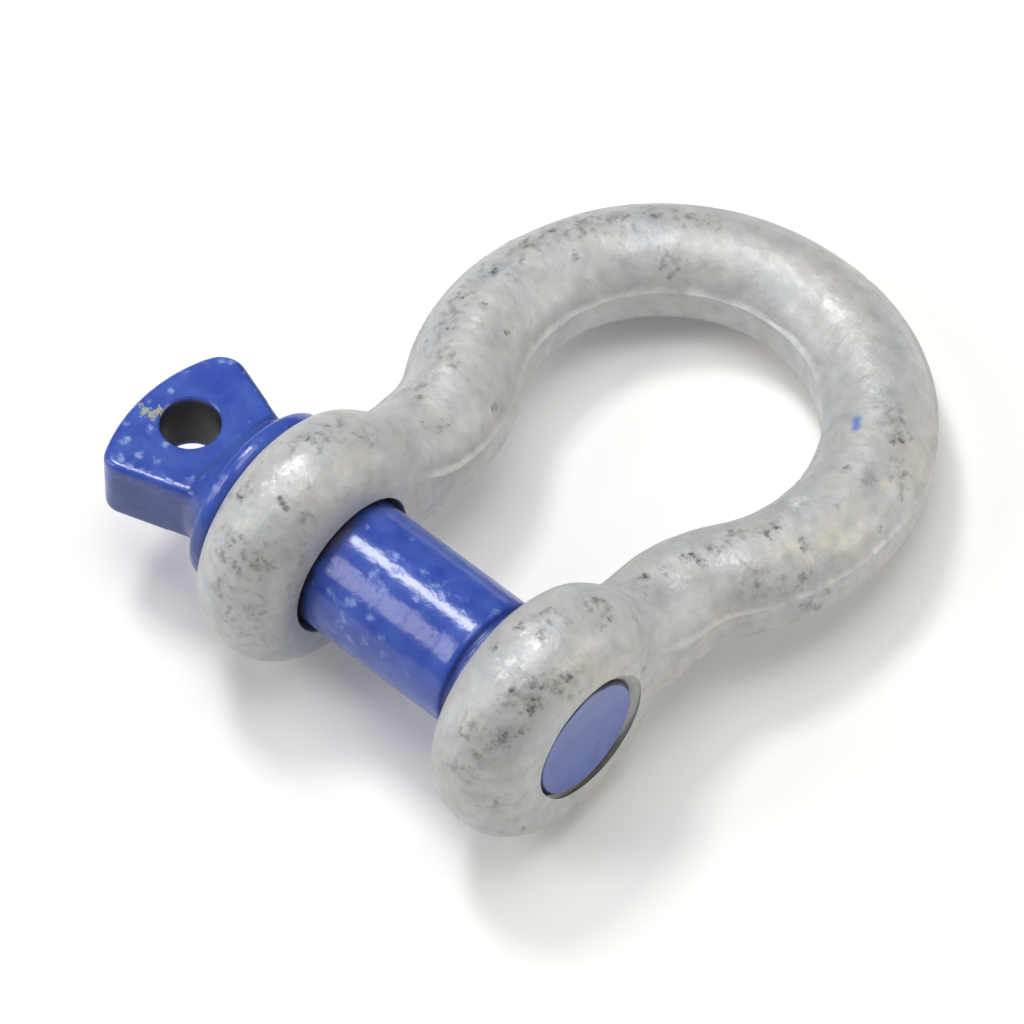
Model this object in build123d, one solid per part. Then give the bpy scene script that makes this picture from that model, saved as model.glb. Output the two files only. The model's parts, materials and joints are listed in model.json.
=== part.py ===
from build123d import *
import math
import os

# A screw pin bow shackle, lying as it comes to rest: the rims of both eyes and the
# crown of the bow touch the ground. The origin is the middle of the pin between the
# eyes, X runs along the pin towards its threaded end, and Z is up.
# All sizes are in millimetres.

# The bow: a round bar forged into a bow, with an eye on each end.
bar_dia = 12.7
bow_inside_width = 33.3
inside_length = 47.7  # from the pin to the inside of the crown
leg_bend_radius = 13.6  # to the bar's centre line, where the crown turns into a leg
jaw_width = 22.1  # between the two eyes
eye_dia = 30.4
eye_thick = 12.2
eye_rim_depth = 5.6  # how far the rounded rim of an eye reaches in from its edge

# The flat seam that is left along the inside and the outside of the bar where the
# flash of the forging was trimmed. It widens as it runs down the neck into the eye.
seam_width = 3.8
seam_proud = 0.05
seam_foot_width = 9.0

# The neck spreads the bar into the eye.
neck_foot_spread = 3.1  # how much wider than the bar it is, each side, inside the eye
neck_foot_tuck = 0.4  # how far its foot stays inside the flat faces of the eye
neck_top_gap = 1.3  # straight bar between the bend and the neck
neck_least_length = 6.0  # where the bend comes low, the neck runs on into the eye

# The pin, turned on one axis.
pin_dia = 15.7
thread_proud = 0.55  # how far the thread stands above the shank, in radius
thread_depth = 1.1  # how deep it reaches into the thread of the right eye, in radius
thread_core_clearance = 0.1  # between the core and the tapped eye, in radius
thread_pitch = 2.31
plain_bore_clearance = 0.15  # the thread passes the left eye, in radius
facing_margin = 0.5  # the faces of the eyes are cut flat this far around the collar
tip_recess = 0.25  # the tip stops this far inside the right eye's outer face
tip_chamfer = 0.8
tip_chamfer_depth = 0.45
groove_depth = 0.6
first_turn_gap = 0.3  # from the first turn to the right eye

# The head of the pin: a round collar, and a flat lug with a hole for the spike.
collar_lap = 2.15  # how far the collar covers the left eye around its hole
collar_thick = 2.3
collar_rounding = 0.9
collar_gap = 0.1  # the pin is screwed home by hand, and just clears the left eye
lug_reach = 18.15  # from the collar's inner face to the end of the lug
lug_root = 6.2  # from the collar's inner face to where the lug is flat
lug_thick = 8.5
lug_width = 21.1
lug_root_width = 15.2
lug_root_tuck = 0.15  # how far the flare's foot stays inside the faces of the lug
lug_root_sunk = 1.5  # how far the lug's plate runs on inside the flare
lug_end_radius = 20.0
lug_corner_radius = 2.0
lug_edge_rounding = 1.0
lug_hole_dia = 6.8
lug_hole_from_end = 6.55
lug_turn = -5.0  # degrees about the pin, where the thread came tight

# Small edge breaks on the machined holes.
bore_break = 0.2
hole_break = 0.25

# Worked out from the sizes above.
bar_radius = bar_dia / 2
eye_radius = eye_dia / 2
pin_radius = pin_dia / 2
thread_radius = pin_radius + thread_proud
plain_bore_radius = thread_radius + plain_bore_clearance
tapped_radius = thread_radius - thread_depth
collar_radius = plain_bore_radius + collar_lap
core_radius = tapped_radius - thread_core_clearance
eye_inner_x = jaw_width / 2
eye_outer_x = jaw_width / 2 + eye_thick
tip_x = eye_outer_x - tip_recess
leg_x = jaw_width / 2 + eye_thick / 2
rim_start = eye_radius - eye_rim_depth
crown_radius = bow_inside_width / 2 + bar_radius
crown_top = pin_radius + inside_length + bar_radius
crown_y = crown_top - crown_radius
bend_x = leg_x + leg_bend_radius
bend_rise = math.sqrt((crown_radius + leg_bend_radius) ** 2 - bend_x**2)
bend_y = crown_y - bend_rise
bend_angle = math.degrees(math.atan2(bend_rise, bend_x))
neck_top_y = bend_y - neck_top_gap
neck_foot_y = min(rim_start, neck_top_y - neck_least_length)
rest_tilt = math.degrees(math.asin((eye_radius - bar_radius) / crown_top))


def bar_line():
    """Centre line of the bar, from the left neck over the crown to the right neck."""
    left_leg = Line((-leg_x, neck_top_y), (-leg_x, bend_y))
    left_bend = CenterArc((-bend_x, bend_y), leg_bend_radius, 0, bend_angle)
    crown = CenterArc((0, crown_y), crown_radius, 180 + bend_angle, -180 - 2 * bend_angle)
    right_bend = CenterArc((bend_x, bend_y), leg_bend_radius, 180 - bend_angle, bend_angle)
    right_leg = Line((leg_x, bend_y), (leg_x, neck_top_y))
    return Wire([left_leg, left_bend, crown, right_bend, right_leg])


def bar():
    """The round bar with its forging seam, swept along the centre line."""
    line = bar_line()
    section = Circle(bar_radius) + Rectangle(bar_dia + 2 * seam_proud, seam_width)
    start = Plane(origin=line @ 0, x_dir=(1, 0, 0), z_dir=line % 0)
    return sweep(start * section, path=line)


def neck(side):
    """The bar spreads as it runs into an eye; side is 1 for the right, -1 for the left."""
    top = Plane(origin=(side * leg_x, neck_top_y, 0), x_dir=(1, 0, 0), z_dir=(0, -1, 0))
    foot = Plane(origin=(side * leg_x, neck_foot_y, 0), x_dir=(1, 0, 0), z_dir=(0, -1, 0))
    foot_half = eye_thick / 2 - neck_foot_tuck
    foot_section = Ellipse(foot_half, bar_radius + neck_foot_spread)
    seam_top = Rectangle(bar_dia + 2 * seam_proud, seam_width)
    seam_foot = Rectangle(2 * foot_half, seam_foot_width)
    spread = loft([top * Circle(bar_radius), foot * foot_section])
    return spread + loft([top * seam_top, foot * seam_foot])


def eye_blank(side):
    """A round eye whose rim is a half ellipse across its whole thickness."""
    half = eye_thick / 2
    outline = Wire(
        [
            Line((-half, 0), (half, 0)),
            Line((half, 0), (half, rim_start)),
            EllipticalCenterArc((0, rim_start), half, eye_rim_depth, 0, arc_size=180),
            Line((-half, rim_start), (-half, 0)),
        ]
    )
    return Pos(side * leg_x, 0, 0) * revolve(make_face(outline), Axis.X)


def facing_cuts():
    """Around the holes nothing stands out from the faces of the eyes, in the jaw or outside."""
    radius = collar_radius + facing_margin
    outside = Cylinder(radius, bar_dia)
    outside_middle = eye_outer_x + bar_radius
    cuts = Cylinder(radius, jaw_width)
    cuts += Pos(0, 0, outside_middle) * outside
    cuts += Pos(0, 0, -outside_middle) * outside
    return Rot(Y=90) * cuts


def hole_along_pin(radius, near_x, far_x):
    """A round hole along the pin's axis with both of its edges broken."""
    length = far_x - near_x
    hole = Cylinder(radius, length)
    near_break = Pos(0, 0, -length / 2 + bore_break / 2) * Cone(radius + bore_break, radius, bore_break)
    far_break = Pos(0, 0, length / 2 - bore_break / 2) * Cone(radius, radius + bore_break, bore_break)
    return Pos((near_x + far_x) / 2, 0, 0) * Rot(Y=90) * (hole + near_break + far_break)


def make_bow():
    """Bar, necks and eyes in one forging, with a plain and a tapped hole."""
    arms = bar() + neck(1) + neck(-1)
    blank = arms - facing_cuts() + eye_blank(1) + eye_blank(-1)
    blank -= hole_along_pin(plain_bore_radius, -eye_outer_x, -eye_inner_x)
    blank -= hole_along_pin(tapped_radius, eye_inner_x, eye_outer_x)
    return Rot(X=-rest_tilt) * blank


def turned_pin():
    """Collar, shank, groove, first turn of the thread, core and tip."""
    collar_in = -eye_outer_x - collar_gap
    collar_out = collar_in - collar_thick
    turn_end = eye_inner_x - first_turn_gap
    turn_start = turn_end - thread_pitch / 2
    groove_start = turn_start - thread_pitch / 2
    groove_radius = pin_radius - groove_depth
    outline = Polyline(
        (collar_out, 0),
        (collar_out, collar_radius),
        (collar_in, collar_radius),
        (collar_in, pin_radius),
        (groove_start, pin_radius),
        (groove_start + groove_depth, groove_radius),
        (turn_start, groove_radius),
        (turn_start, thread_radius),
        (turn_end, thread_radius),
        (turn_end, core_radius),
        (tip_x - tip_chamfer, core_radius),
        (tip_x, core_radius - tip_chamfer_depth),
        (tip_x, 0),
        close=True,
    )
    body = revolve(make_face(outline), Axis.X)
    circles = body.edges().filter_by(GeomType.CIRCLE)
    collar_rims = circles.sort_by(lambda edge: edge.radius)[-2:]
    return fillet(collar_rims, collar_rounding)


def head_flare():
    """Behind the collar the round head flattens into the root of the lug."""
    collar_out = -eye_outer_x - collar_gap - collar_thick
    flat_start = -eye_outer_x - collar_gap - lug_root
    round_end = Plane(origin=(collar_out, 0, 0), x_dir=(0, 1, 0), z_dir=(-1, 0, 0))
    flat_end = Plane(origin=(flat_start, 0, 0), x_dir=(0, 1, 0), z_dir=(-1, 0, 0))
    root_width = lug_root_width - 2 * lug_root_tuck
    root_thick = lug_thick - 2 * lug_root_tuck
    root = RectangleRounded(root_width, root_thick, lug_edge_rounding)
    return loft([round_end * Circle(collar_radius - collar_rounding), flat_end * root])


def lug():
    """The flat lug: sides that spread outwards, an arched end and the spike's hole."""
    end_x = -eye_outer_x - collar_gap - lug_reach
    flat_start = -eye_outer_x - collar_gap - lug_root
    corner_x = end_x + lug_end_radius - math.sqrt(lug_end_radius**2 - (lug_width / 2) ** 2)
    spread = (lug_width - lug_root_width) / 2 / (flat_start - corner_x)
    root_x = flat_start + lug_root_sunk
    root_half = lug_root_width / 2 - spread * (root_x - flat_start)
    arch = ThreePointArc((corner_x, lug_width / 2), (end_x, 0), (corner_x, -lug_width / 2))
    sides = Polyline(
        (corner_x, -lug_width / 2),
        (root_x, -root_half),
        (root_x, root_half),
        (corner_x, lug_width / 2),
    )
    plan = make_face(Wire([arch, *sides.edges()]))
    corners = plan.vertices().sort_by(Axis.X)[:2]
    plate = extrude(fillet(corners, lug_corner_radius), lug_thick / 2, both=True)
    rims = plate.faces().filter_by(Axis.Z).edges()
    rims_clear_of_root = rims.sort_by(Axis.X)[:-2]
    plate = fillet(rims_clear_of_root, lug_edge_rounding)
    hole = Cylinder(lug_hole_dia / 2, 2 * lug_thick)
    edge_break = Cone(lug_hole_dia / 2, lug_hole_dia / 2 + hole_break, hole_break)
    hole += Pos(0, 0, lug_thick / 2 - hole_break / 2) * edge_break
    hole += Pos(0, 0, -lug_thick / 2 + hole_break / 2) * Rot(X=180) * edge_break
    return plate - Pos(end_x + lug_hole_from_end, 0, 0) * hole


def make_screw_pin():
    """The whole pin, in one forging, with its lug turned to where it came tight."""
    return turned_pin() + Rot(X=lug_turn) * (head_flare() + lug())


os.makedirs("parts", exist_ok=True)
export_step(make_bow(), "parts/bow.step")
export_step(make_screw_pin(), "parts/screw_pin.step")
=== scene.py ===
# %% [markdown]
# # A screw pin bow shackle
#
# A shackle is a link that opens. Steel bar is forged into a bow with an eye at
# each end, and a pin goes through both eyes and screws into the second one. Here
# the bow is galvanised with matt grey zinc and the pin is painted a glossy blue.
#
# The script starts from the measured CAD model. It gives the size and the place of
# each piece, and Blender gives it the softer shape and the finish of the real thing.

# %% Load the measured model
import json
import math

import bmesh
import bpy
import numpy as np
from mathutils import Matrix, Vector, noise


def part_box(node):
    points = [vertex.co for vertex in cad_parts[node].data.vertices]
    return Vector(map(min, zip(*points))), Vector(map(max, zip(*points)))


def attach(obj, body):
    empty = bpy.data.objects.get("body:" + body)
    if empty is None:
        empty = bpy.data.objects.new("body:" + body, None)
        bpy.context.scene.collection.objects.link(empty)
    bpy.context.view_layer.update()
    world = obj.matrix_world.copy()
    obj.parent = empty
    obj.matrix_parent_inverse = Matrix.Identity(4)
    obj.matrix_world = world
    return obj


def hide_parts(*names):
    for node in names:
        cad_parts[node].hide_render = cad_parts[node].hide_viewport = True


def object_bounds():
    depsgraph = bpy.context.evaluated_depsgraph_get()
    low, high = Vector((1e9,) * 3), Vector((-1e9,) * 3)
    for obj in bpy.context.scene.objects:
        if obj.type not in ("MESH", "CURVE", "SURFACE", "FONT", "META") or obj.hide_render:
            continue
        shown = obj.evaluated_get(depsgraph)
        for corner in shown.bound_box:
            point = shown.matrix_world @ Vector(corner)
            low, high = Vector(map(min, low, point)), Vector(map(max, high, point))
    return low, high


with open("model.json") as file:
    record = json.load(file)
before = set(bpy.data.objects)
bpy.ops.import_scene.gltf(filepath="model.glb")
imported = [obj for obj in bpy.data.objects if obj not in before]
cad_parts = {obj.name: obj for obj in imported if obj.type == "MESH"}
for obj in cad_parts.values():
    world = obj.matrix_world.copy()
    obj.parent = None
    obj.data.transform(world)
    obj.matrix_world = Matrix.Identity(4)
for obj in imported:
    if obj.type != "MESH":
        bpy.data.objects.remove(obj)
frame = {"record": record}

cad_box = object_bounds()
MM = 0.001
print("the CAD box in mm:", [[round(side / MM, 2) for side in corner] for corner in cad_box])

# %% [markdown]
# ## The camera
#
# The photograph was taken from well above and from far away: the edges of the
# object barely converge. A long lens at a distance of over a metre gives that. The
# camera is hung on three turns around the point that it looks at: around the
# vertical, down from it, and a small roll. These are easier to read than a free
# place and a free rotation.

# %% Place the camera
camera_target = Vector((-6.07, 19.48, -7.41)) * MM
camera_around, camera_above, camera_roll = 47.417, 56.985, -6.091  # degrees
camera_distance = 1240.7 * MM
camera_lens = 400.9

camera_turn = (
    Matrix.Rotation(math.radians(camera_around), 4, "Z")
    @ Matrix.Rotation(math.radians(90 - camera_above), 4, "X")
    @ Matrix.Rotation(math.radians(camera_roll), 4, "Z")
)
camera = bpy.data.objects.new("camera", bpy.data.cameras.new("camera"))
bpy.context.scene.collection.objects.link(camera)
camera.data.lens = camera_lens
camera.matrix_world = (
    Matrix.Translation(camera_target) @ camera_turn @ Matrix.Translation((0, 0, camera_distance))
)
bpy.context.scene.camera = camera
print("the camera stands at", [round(side, 3) for side in camera.matrix_world.translation])

# %% [markdown]
# ## Light
#
# A glossy pin shows every lamp as a stripe along its length, so its stripes say
# where lamps stood: a small bright one high up and a long narrow one on the left.
# The other panels don't show in the pin. They are known from the shade on the zinc,
# which is warm on the right and cool on the left, and from the shadows on the
# floor. A lamp's power says little, so each lamp is given the level that it would
# bring a white card to that faces it. On the floor the levels add up to a little
# over 1, and so a colour renders about as it is written.

# %% Hang the lamps
bpy.context.scene.view_settings.view_transform = "Standard"
lamp_distance = 0.8


def soft_lamp(name, direction, width, height, level, tint=(1, 1, 1)):
    """A panel that looks at the shackle from this direction, its width along the pin."""
    lamp = bpy.data.objects.new(name, bpy.data.lights.new(name, "AREA"))
    bpy.context.scene.collection.objects.link(lamp)
    lamp.data.shape = "RECTANGLE"
    lamp.data.size, lamp.data.size_y = width, height
    lamp.data.energy = level * math.pi**2 * lamp_distance**2
    lamp.data.color = tint
    away = Vector(direction).normalized()
    along_pin = (Vector((1, 0, 0)) - away * away.x).normalized()
    look = Matrix((along_pin, away.cross(along_pin), away)).transposed().to_4x4()
    lamp.matrix_world = Matrix.Translation(camera_target + away * lamp_distance) @ look
    print(name, "gives", round(lamp.data.energy, 2), "watts")


soft_lamp("small lamp", (-0.41, 0.16, 0.90), 0.19, 0.19, 0.38)
soft_lamp("narrow panel", (-0.41, -0.60, 0.69), 0.14, 0.40, 0.185, (1.0, 0.90, 0.84))
soft_lamp("overhead panel", (0.05, 0.05, 1.0), 0.5, 0.5, 0.42)
soft_lamp("right panel", (0.73, 0.56, 0.38), 0.5, 0.4, 0.30, (1.0, 0.945, 0.86))
soft_lamp("left panel", (-0.68, -0.60, 0.45), 0.3, 0.4, 0.20, (0.86, 0.95, 1.0))

# %% Light the room evenly
room_brightness = 0.06
world = bpy.data.worlds.new("room")
world.use_nodes = True
world.node_tree.nodes["Background"].inputs["Color"].default_value = (1, 1, 1, 1)
world.node_tree.nodes["Background"].inputs["Strength"].default_value = room_brightness
bpy.context.scene.world = world
print("the room adds", room_brightness, "to the level of the lamps")

# %% [markdown]
# ## Building materials from nodes
#
# A material is a small net of nodes. Written out in full, each node takes four or
# five lines, so one helper makes a node, fills in its inputs and links the ones
# that are given another node's output. The others use it for what comes up most:
# sums, mixed colours, soft ramps, noise and bumps.


# %% Make a node
def add_node(tree, kind, inputs=None, **settings):
    """A new node with its settings made and its inputs filled in or linked."""
    made = tree.nodes.new(kind)
    for name, value in settings.items():
        setattr(made, name, value)
    for name, value in (inputs or {}).items():
        if isinstance(value, bpy.types.NodeSocket):
            tree.links.new(value, made.inputs[name])
        else:
            made.inputs[name].default_value = value
    return made


# %% Make the nodes that come up most
def math_value(tree, operation, first, second, clamp=False):
    """Two values added, multiplied or put together in another way."""
    inputs = {0: first, 1: second}
    made = add_node(tree, "ShaderNodeMath", inputs, operation=operation, use_clamp=clamp)
    return made.outputs[0]


def mix_colours(tree, amount, first, second):
    """The colour that lies this far from the first colour to the second."""
    first_input, second_input, result = 6, 7, 2
    inputs = {0: amount, first_input: first, second_input: second}
    return add_node(tree, "ShaderNodeMix", inputs, data_type="RGBA").outputs[result]


def ramp_between(tree, value, low, high, start=0.0, end=1.0):
    """Start where the value is low, end where it is high, and smooth in between."""
    inputs = {"Value": value, "From Min": low, "From Max": high, "To Min": start, "To Max": end}
    return add_node(tree, "ShaderNodeMapRange", inputs, interpolation_type="SMOOTHSTEP").outputs[0]


def noise_value(tree, place, scale, detail=3.0, roughness=0.5):
    """Cloudy noise between 0 and 1; a scale of 1000 makes spots of about a millimetre."""
    inputs = {"Vector": place, "Scale": scale, "Detail": detail, "Roughness": roughness}
    return add_node(tree, "ShaderNodeTexNoise", inputs).outputs[0]


def bump(tree, height, strength, depth, under=None, invert=False):
    """Tilts the surface as if it had these heights, this many millimetres deep."""
    inputs = {"Height": height, "Strength": strength, "Distance": depth * MM}
    if under:
        inputs["Normal"] = under
    return add_node(tree, "ShaderNodeBump", inputs, invert=invert).outputs["Normal"]


# %% [markdown]
# ## Helpers for shapes
#
# The pieces are shaped in millimetres, at which Blender's merge distances and
# Booleans work well, and turned into metres at the end. Three things come up again
# and again: drawing a ring of edges out by one more step, spinning a line into a
# turned shape, and baking a modifier into the mesh.


# %% Draw and spin a ring of edges
def verts_among(geometry):
    """The vertices in what an operator gives back."""
    return [item for item in geometry if isinstance(item, bmesh.types.BMVert)]


def edges_among(bm, verts):
    """The edges that join these vertices to each other."""
    chosen = set(verts)
    return [edge for edge in bm.edges if edge.verts[0] in chosen and edge.verts[1] in chosen]


def next_ring(bm, ring, step_y=0.0):
    """Draws a ring out by a step along Y; gives the vertices of the new one."""
    drawn = verts_among(bmesh.ops.extrude_edge_only(bm, edges=edges_among(bm, ring))["geom"])
    bmesh.ops.translate(bm, verts=drawn, vec=(0, step_y, 0))
    return drawn


def spin_ring(bm, ring, middle, angle, steps):
    """Sweeps a ring around an upright axis; gives the vertices of the last one."""
    swept = bmesh.ops.spin(
        bm, geom=edges_among(bm, ring), cent=middle, axis=(0, 0, 1), angle=angle, steps=steps
    )
    return verts_among(swept["geom_last"])


# %% Turned and closed shapes
def turn_out(bm):
    """Makes all faces of a closed shape point outwards."""
    bmesh.ops.recalc_face_normals(bm, faces=bm.faces[:])


def turned_shape(profile, steps=128):
    """Spins a line of (x, radius) points around the pin's axis, as on a lathe."""
    turned = bmesh.new()
    verts = [turned.verts.new((x, radius, 0)) for x, radius in profile]
    edges = [turned.edges.new(pair) for pair in zip(verts, verts[1:])]
    bmesh.ops.spin(
        turned,
        geom=verts + edges,
        cent=(0, 0, 0),
        axis=(1, 0, 0),
        angle=math.tau,
        steps=steps,
        use_merge=True,
    )
    bmesh.ops.remove_doubles(turned, verts=turned.verts[:], dist=0.0005)
    turn_out(turned)
    return turned


def close_and_turn_out(bm):
    """Fills the open ends and makes all faces point outwards."""
    open_edges = [edge for edge in bm.edges if edge.is_boundary]
    bmesh.ops.holes_fill(bm, edges=open_edges, sides=0)
    turn_out(bm)


# %% Make objects and bake their modifiers
def make_object(bm, name):
    """Puts a finished bmesh into the scene as an object."""
    mesh = bpy.data.meshes.new(name)
    bm.to_mesh(mesh)
    bm.free()
    made = bpy.data.objects.new(name, mesh)
    bpy.context.scene.collection.objects.link(made)
    return made


def bake_modifiers(piece):
    """Turns what the modifiers show into the piece's own mesh."""
    view = bpy.context.evaluated_depsgraph_get()
    shown = bpy.data.meshes.new_from_object(piece.evaluated_get(view))
    piece.modifiers.clear()
    piece.data = shown


def cut_or_join(piece, shape, operation):
    """Cuts a shape out of the piece, or joins it on."""
    tool = make_object(shape, "tool")
    boolean = piece.modifiers.new("shape", "BOOLEAN")
    boolean.operation = operation
    boolean.solver = "EXACT"
    boolean.object = tool
    bake_modifiers(piece)
    bpy.data.objects.remove(tool)


def fuse(piece, voxel):
    """Melts overlapping closed shapes into one skin of even, small faces, as a bmesh."""
    melt = piece.modifiers.new("fuse", "REMESH")
    melt.mode = "VOXEL"
    melt.voxel_size = voxel
    bake_modifiers(piece)
    skin = bmesh.new()
    skin.from_mesh(piece.data)
    return skin


# %% [markdown]
# ## The floor
#
# The shackle lies on white paper that the photograph shows as pure white, with a
# soft grey shadow around the steel. A real white can't do that under a light that
# leaves the zinc grey, so the paper glows a little, and only where the camera or a
# reflection looks at it. Its glow doesn't light the object.

# %% Lay the floor
floor_glow, floor_half_wide = 0.10, 4.0
paper = bpy.data.materials.new("white paper")
paper.use_nodes = True
paper_nodes = paper.node_tree
paper_shader = paper_nodes.nodes["Principled BSDF"]
paper_shader.inputs["Base Color"].default_value = (0.965, 0.96, 0.945, 1)
paper_shader.inputs["Roughness"].default_value = 1.0
paper_shader.inputs["Specular IOR Level"].default_value = 0.0
paper_shader.inputs["Emission Color"].default_value = (1, 1, 1, 1)
rays = add_node(paper_nodes, "ShaderNodeLightPath")
seen = rays.outputs["Is Camera Ray"]
for other_look in ("Is Glossy Ray", "Is Transmission Ray"):
    seen = math_value(paper_nodes, "ADD", seen, rays.outputs[other_look])
glow = math_value(paper_nodes, "MULTIPLY", seen, floor_glow)
paper_nodes.links.new(glow, paper_shader.inputs["Emission Strength"])

floor_height = cad_box[0][2]
floor_shape = bmesh.new()
bmesh.ops.create_grid(
    floor_shape,
    x_segments=1,
    y_segments=1,
    size=floor_half_wide,
    matrix=Matrix.Translation((0, 0, floor_height)),
)
floor = make_object(floor_shape, "floor")
floor.data.materials.append(paper)
print("the floor lies at", round(floor_height / MM, 2), "mm")

# %% [markdown]
# ## The bow's bar
#
# The bow is one round bar, bent into almost three quarters of a circle, with two
# gentle bends that lead into straight legs. A curve with a round bevel could make
# it, but the necks below it spread into ovals. So a ring of edges is drawn along
# the real path: straight up the leg, spun around the centre of the bend, and spun
# around the centre of the crown. Only the left half is made, and then mirrored.

# %% Sizes of the bow, in millimetres
mounts = {mount["name"]: mount for mount in frame["record"]["mounts"]}
crown_mount = mounts["crown"]
bar_radius = crown_mount["dims"]["r_mm"]
jaw_width = mounts["pin_span"]["dims"]["length_mm"]
pin_radius = mounts["pin_span"]["dims"]["r_mm"]
rest_tilt = math.asin(crown_mount["axis"][2])
crown_top = Vector(crown_mount["pos_m"]).length / MM + bar_radius
eye_radius = -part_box("bow")[0].z / MM
eye_thick = 12.2
crown_radius = 23.0
bend_radius = 13.6

leg_x = jaw_width / 2 + eye_thick / 2
crown_y = crown_top - crown_radius
bend_x = leg_x + bend_radius
bend_rise = math.sqrt((crown_radius + bend_radius) ** 2 - bend_x**2)
bend_y = crown_y - bend_rise
bend_angle = math.atan2(bend_rise, bend_x)
print("legs at", leg_x, "mm, bends turn", round(math.degrees(bend_angle), 1), "degrees")

# %% Draw half of the bar
neck_top_y = 17.75
bar_sides, bend_steps, crown_steps = 72, 8, 48

bow_shape = bmesh.new()
upright = Matrix.Translation((-leg_x, neck_top_y, 0)) @ Matrix.Rotation(math.pi / 2, 4, "X")
neck_top = bmesh.ops.create_circle(
    bow_shape, segments=bar_sides, radius=bar_radius, matrix=upright
)["verts"]

ring = next_ring(bow_shape, neck_top, bend_y - neck_top_y)
ring = spin_ring(bow_shape, ring, (-bend_x, bend_y, 0), bend_angle, bend_steps)
spin_ring(bow_shape, ring, (0, crown_y, 0), -math.pi / 2 - bend_angle, crown_steps)
print("half of the bar has", len(bow_shape.faces), "faces")

# %% [markdown]
# ## The necks
#
# Where the bar runs down into an eye it grows higher and a little thinner, as the
# steel is squeezed flat in the die. Each step down is the ring before it, moved and
# stretched. The growth starts gently, so that there is no crease at the top. The
# neck's foot ends inside the eye.

# %% Draw the neck down and mirror the half
neck_foot_y, neck_end_y = 9.6, 6.0
neck_steps, neck_growth = 8, 1.25
foot_half_across, foot_half_high = 5.7, 9.45


def part_way(start, end, share):
    """The value that lies this share of the way from the start to the end."""
    return start + (end - start) * share


leg_line = Matrix.Translation((leg_x, 0, 0))
ring, across, high = neck_top, bar_radius, bar_radius
for step in range(1, neck_steps + 1):
    share = (step / neck_steps) ** neck_growth
    new_across = part_way(bar_radius, foot_half_across, share)
    new_high = part_way(bar_radius, foot_half_high, share)
    ring = next_ring(bow_shape, ring, (neck_foot_y - neck_top_y) / neck_steps)
    stretch = (new_across / across, 1, new_high / high)
    bmesh.ops.scale(bow_shape, verts=ring, vec=stretch, space=leg_line)
    across, high = new_across, new_high
next_ring(bow_shape, ring, neck_end_y - neck_foot_y)

everything = bow_shape.verts[:] + bow_shape.edges[:] + bow_shape.faces[:]
bmesh.ops.mirror(bow_shape, geom=everything, merge_dist=0.001, axis="X")
close_and_turn_out(bow_shape)
print("the whole bar has", len(bow_shape.faces), "faces")

# %% [markdown]
# ## The eyes
#
# Each eye is a thick round disc whose edge is rounded over its whole thickness, so
# it is turned: a line from the axis out along one flat face, over the rounded rim
# and back, spun around the pin's axis.

# %% Turn the two eyes
rim_depth, rim_steps = 5.6, 14
rim_start = eye_radius - rim_depth


def rounding(x, radius, half_wide, depth, start, end, steps):
    """Points on an oval around (x, radius), between two angles in quarter turns."""
    angles = [math.pi / 2 * part_way(start, end, step / steps) for step in range(steps + 1)]
    return [(x + half_wide * math.cos(turn), radius + depth * math.sin(turn)) for turn in angles]


def add_shape(bm, extra):
    """Puts a copy of another bmesh into this one, and frees the other."""
    mesh = bpy.data.meshes.new("part")
    extra.to_mesh(mesh)
    extra.free()
    bm.from_mesh(mesh)
    bpy.data.meshes.remove(mesh)


rim_line = rounding(0, rim_start, eye_thick / 2, rim_depth, 2, 0, rim_steps)
for side in (-1, 1):
    eye = turned_shape([(-eye_thick / 2, 0), *rim_line, (eye_thick / 2, 0)])
    bmesh.ops.translate(eye, verts=eye.verts[:], vec=(side * leg_x, 0, 0))
    add_shape(bow_shape, eye)
print("the rim of each eye reaches from", rim_start, "to", round(eye_radius, 2), "mm")

# %% [markdown]
# ## One forging
#
# Bar and eyes are one piece of steel, with a soft hollow where they meet. A Boolean
# would leave a sharp crease there. A voxel remesh melts the overlapping shapes into
# one skin, and smoothing only the vertices around the crease, in bands that grow
# narrower, gives the hollow. A few passes over everything take off the fine steps
# that voxels leave.

# %% Melt the parts together and soften the creases
bow_voxel = 0.365
crease_bands = ((6.5, 19.0, 12), (7.5, 17.5, 25), (8.5, 16.0, 35))  # from y to y, passes
overall_passes = 3


def smooth(bm, verts, passes):
    """Moves these vertices towards the middle of their neighbours, pass after pass."""
    for _ in range(passes):
        bmesh.ops.smooth_vert(
            bm, verts=verts, factor=0.5, use_axis_x=True, use_axis_y=True, use_axis_z=True
        )


bow = make_object(bow_shape, "galvanised_bow")
bow_skin = fuse(bow, bow_voxel)
for low_y, high_y, passes in crease_bands:
    smooth(bow_skin, [vert for vert in bow_skin.verts if low_y < vert.co.y < high_y], passes)
smooth(bow_skin, bow_skin.verts[:], overall_passes)
print("the bow's skin has", len(bow_skin.faces), "faces")

# %% [markdown]
# ## The seam of the forging
#
# Steel squeezed out between the two halves of the die leaves a thin fin around the
# bar, inside and outside. It is trimmed off, and a flat band with a small ledge on
# each side stays. Each vertex near the middle plane of the bar is moved out to the
# flat band. The row of vertices next to the band's edge is set exactly on it, so
# that the ledge stays crisp. The band widens as it runs down the neck.


# %% Find the way out from the bar's line
def beside_bar(place):
    """How far outwards from the bar's line a place lies, and which way outwards is."""
    side = math.copysign(1, place.x)
    from_crown = Vector((place.x, place.y - crown_y))
    if math.atan2(from_crown.y, abs(from_crown.x)) > -bend_angle:
        return from_crown.length - crown_radius, from_crown.normalized()
    if place.y > bend_y:
        from_bend = Vector((place.x - side * bend_x, place.y - bend_y))
        return bend_radius - from_bend.length, -from_bend.normalized()
    return side * place.x - leg_x, Vector((side, 0))


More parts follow.
